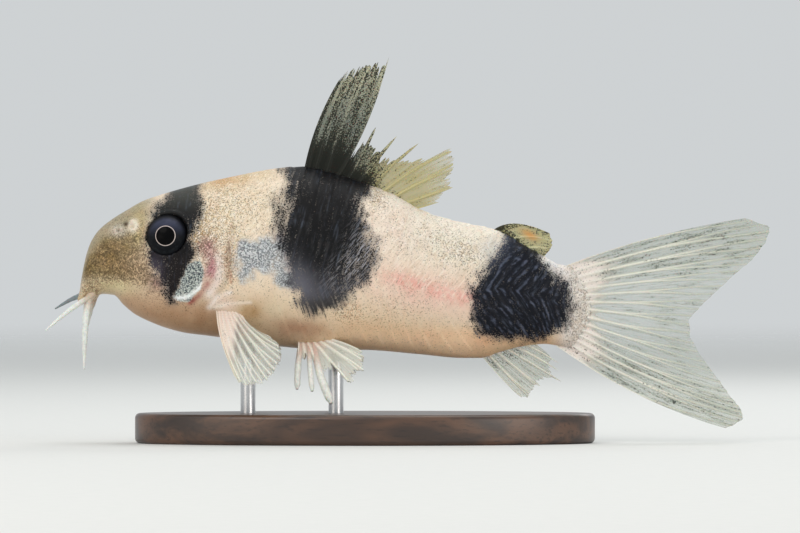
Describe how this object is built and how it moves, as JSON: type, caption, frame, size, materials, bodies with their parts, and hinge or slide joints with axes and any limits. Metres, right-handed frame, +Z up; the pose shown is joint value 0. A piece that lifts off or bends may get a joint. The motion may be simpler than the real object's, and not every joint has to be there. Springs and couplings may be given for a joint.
{
  "type": "corydoras catfish model",
  "caption": "Still life-size model of a two-saddle corydoras catfish with barbels, plated flanks and spread fins, on an oval base with two short rods.",
  "frame": {"origin": "centre of the bounding box at the underside of the stand base", "axes": "+Z up, the fish looks along -X with its left side towards -Y, and +X runs back to the tail"},
  "size_m": [0.0723, 0.0246, 0.0387],
  "materials": {
    "skin": "moist scaleless skin over bony plates, cream with two black saddles and an eye mask",
    "eye": "wet clear cornea over a dark iris with a thin silver ring",
    "dark_fin": "dark speckled fin skin between rays",
    "clear_fin": "clear fin skin between pale rays",
    "barbel": "moist pale grey feeler skin",
    "wood": "dark stained walnut, satin lacquer",
    "steel": "polished stainless steel rod"
  },
  "bodies": {
    "root": {"head": "skin", "trunk": "skin", "tail": "skin", "eye_left": "eye", "eye_right": "eye", "dorsal_fin": "dark_fin", "adipose_fin": "dark_fin", "anal_fin": "clear_fin", "caudal_fin": "clear_fin", "pectoral_fin_left": "clear_fin", "pectoral_fin_right": "clear_fin", "pelvic_fin_left": "clear_fin", "pelvic_fin_right": "clear_fin", "barbel_upper_left": "barbel", "barbel_upper_right": "barbel", "barbel_lower_left": "barbel", "barbel_lower_right": "barbel", "stand_base": "wood", "stand_rod_front": "steel", "stand_rod_rear": "steel"}
  },
  "joints": []
}
